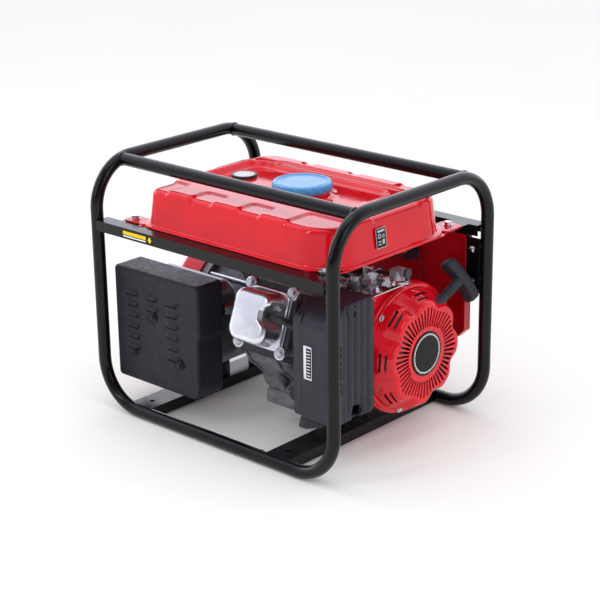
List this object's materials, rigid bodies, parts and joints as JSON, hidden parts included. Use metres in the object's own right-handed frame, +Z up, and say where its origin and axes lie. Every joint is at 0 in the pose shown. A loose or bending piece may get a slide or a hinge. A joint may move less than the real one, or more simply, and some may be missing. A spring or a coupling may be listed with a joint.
{
  "type": "portable generator",
  "caption": "Open-frame portable generator: tube cage, fuel tank with screw cap, single cylinder engine, recoil starter, muffler guard, alternator and socket panel.",
  "frame": {"origin": "centre of the frame's footprint, on the floor", "axes": "+X towards the recoil starter, +Y the control panel side, +Z up"},
  "size_m": [0.481, 0.358, 0.3915],
  "materials": {
    "frame_paint": "gloss black paint",
    "red_paint": "gloss red paint",
    "guard_paint": "matt black heat paint",
    "black_plastic": "matt",
    "grey_plastic": "satin",
    "casting": "as cast",
    "zinc": "zinc plated",
    "bright": "polished",
    "steel": "plain",
    "iron": "plain",
    "rubber": "plain",
    "blue_cap": "clear blue film",
    "lens": "clear",
    "foam": "open foam",
    "rope": "braided",
    "needle": "plain",
    "red_plastic": "plain",
    "brass": "plain"
  },
  "bodies": {
    "generator": {"frame_hoop_left": "frame_paint", "frame_hoop_right": "frame_paint", "top_rails": "frame_paint", "tank_rail_front": "frame_paint", "tank_rail_rear": "frame_paint", "cross_members": "frame_paint", "rubber_mounts": "rubber", "tank_bolts": "zinc", "fuel_tank_upper": "red_paint", "fuel_tank_lower": "red_paint", "fuel_gauge": "steel", "fuel_gauge_lens": "lens", "cylinder": "casting", "cylinder_head": "casting", "valve_cover_gasket": "black_plastic", "valve_cover": "bright", "valve_cover_bolts": "zinc", "crankcase": "casting", "spark_plug": "zinc", "spark_plug_cap": "rubber", "small_screws": "zinc", "blower_shroud": "red_paint", "recoil_cover": "red_paint", "recoil_badge": "black_plastic", "starter_rope": "rope", "stator": "iron", "alternator_bracket": "casting", "alternator_bolts": "zinc", "alternator_cover": "red_paint", "exhaust_pipe": "steel", "muffler": "steel", "muffler_guard": "guard_paint", "air_cleaner_base": "black_plastic", "air_filter": "foam", "carburettor": "casting", "control_plate": "zinc", "fuel_valve": "casting", "fuel_hose": "rubber", "panel_fittings": "black_plastic", "voltmeter": "black_plastic", "ground_terminal": "brass", "panel_brackets": "frame_paint", "control_panel": "red_paint", "breather_hose": "rubber"},
    "crank_train": {"crankshaft": "steel", "flywheel": "casting", "rotor": "iron"},
    "rewind_pulley": {"recoil_pulley": "black_plastic"},
    "starter_handle": {"pull_handle": "black_plastic"},
    "cap_seal": {"fuel_cap_seal": "rubber"},
    "cap": {"fuel_cap": "blue_cap"},
    "fuel_lever": {"fuel_valve_lever": "black_plastic"},
    "choke": {"choke_lever": "black_plastic"},
    "throttle": {"throttle_lever": "zinc"},
    "switch_rocker": {"engine_switch": "red_plastic"},
    "breaker": {"breaker_button": "red_plastic"},
    "dipstick": {"oil_dipstick": "black_plastic"},
    "cleaner_cover": {"air_cleaner_cover": "grey_plastic"},
    "meter_needle": {"voltmeter_needle": "needle"},
    "gauge_needle": {"fuel_gauge_needle": "needle"}
  },
  "joints": [
    {"name": "crank_spin", "type": "hinge", "parent": "generator", "child": "crank_train", "pos_m": [0, 0.043, 0.135], "axis": [1, 0, 0], "continuous": true},
    {"name": "handle_pull", "type": "slide", "parent": "generator", "child": "starter_handle", "axis": [0.8489, -0.1997, 0.4894], "range_m": [0, 0.6], "stiffness_N_per_m": 12, "springref_m": -0.2, "deforming": ["starter_rope"]},
    {"name": "pulley_spin", "type": "hinge", "parent": "generator", "child": "rewind_pulley", "pos_m": [0, 0.043, 0.135], "axis": [1, 0, 0], "range_deg": [0, 960]},
    {"name": "cap_lift", "type": "slide", "parent": "generator", "child": "cap_seal", "axis": [0, 0, 1], "range_m": [0, 0.06]},
    {"name": "cap_turn", "type": "hinge", "parent": "cap_seal", "child": "cap", "pos_m": [0.033, -0.009, 0.365], "axis": [0, 0, 1], "range_deg": [0, 90]},
    {"name": "fuel_lever_turn", "type": "hinge", "parent": "generator", "child": "fuel_lever", "pos_m": [0.202, 0.022, 0.257], "axis": [1, 0, 0], "range_deg": [0, 90]},
    {"name": "choke_turn", "type": "hinge", "parent": "generator", "child": "choke", "pos_m": [0.124, -0.0984, 0.2], "axis": [0, 1, 0], "range_deg": [0, 50]},
    {"name": "throttle_turn", "type": "hinge", "parent": "generator", "child": "throttle", "pos_m": [0.154, -0.012, 0.245], "axis": [1, 0, 0], "range_deg": [-15, 30]},
    {"name": "switch_rock", "type": "hinge", "parent": "generator", "child": "switch_rocker", "pos_m": [0.092, 0.1665, 0.24], "axis": [1, 0, 0], "range_deg": [-10, 10]},
    {"name": "breaker_press", "type": "slide", "parent": "generator", "child": "breaker", "axis": [0, -1, 0], "range_m": [0, 0.003], "stiffness_N_per_m": 100, "springref_m": -0.002},
    {"name": "dipstick_out", "type": "slide", "parent": "generator", "child": "dipstick", "axis": [0, -0.8486, 0.5291], "range_m": [0, 0.04]},
    {"name": "cleaner_cover_off", "type": "slide", "parent": "generator", "child": "cleaner_cover", "axis": [1, 0, 0], "range_m": [0, 0.08]},
    {"name": "meter_swing", "type": "hinge", "parent": "generator", "child": "meter_needle", "pos_m": [0.008, 0.1715, 0.234], "axis": [0, 1, 0], "range_deg": [-40, 40]},
    {"name": "gauge_swing", "type": "hinge", "parent": "generator", "child": "gauge_needle", "pos_m": [-0.096, 0.005, 0.35], "axis": [0, 0, 1], "range_deg": [-60, 60]}
  ],
  "couplings": [
    {"joint": "pulley_spin", "follows": "handle_pull", "rad_per_m": 27.778}
  ]
}
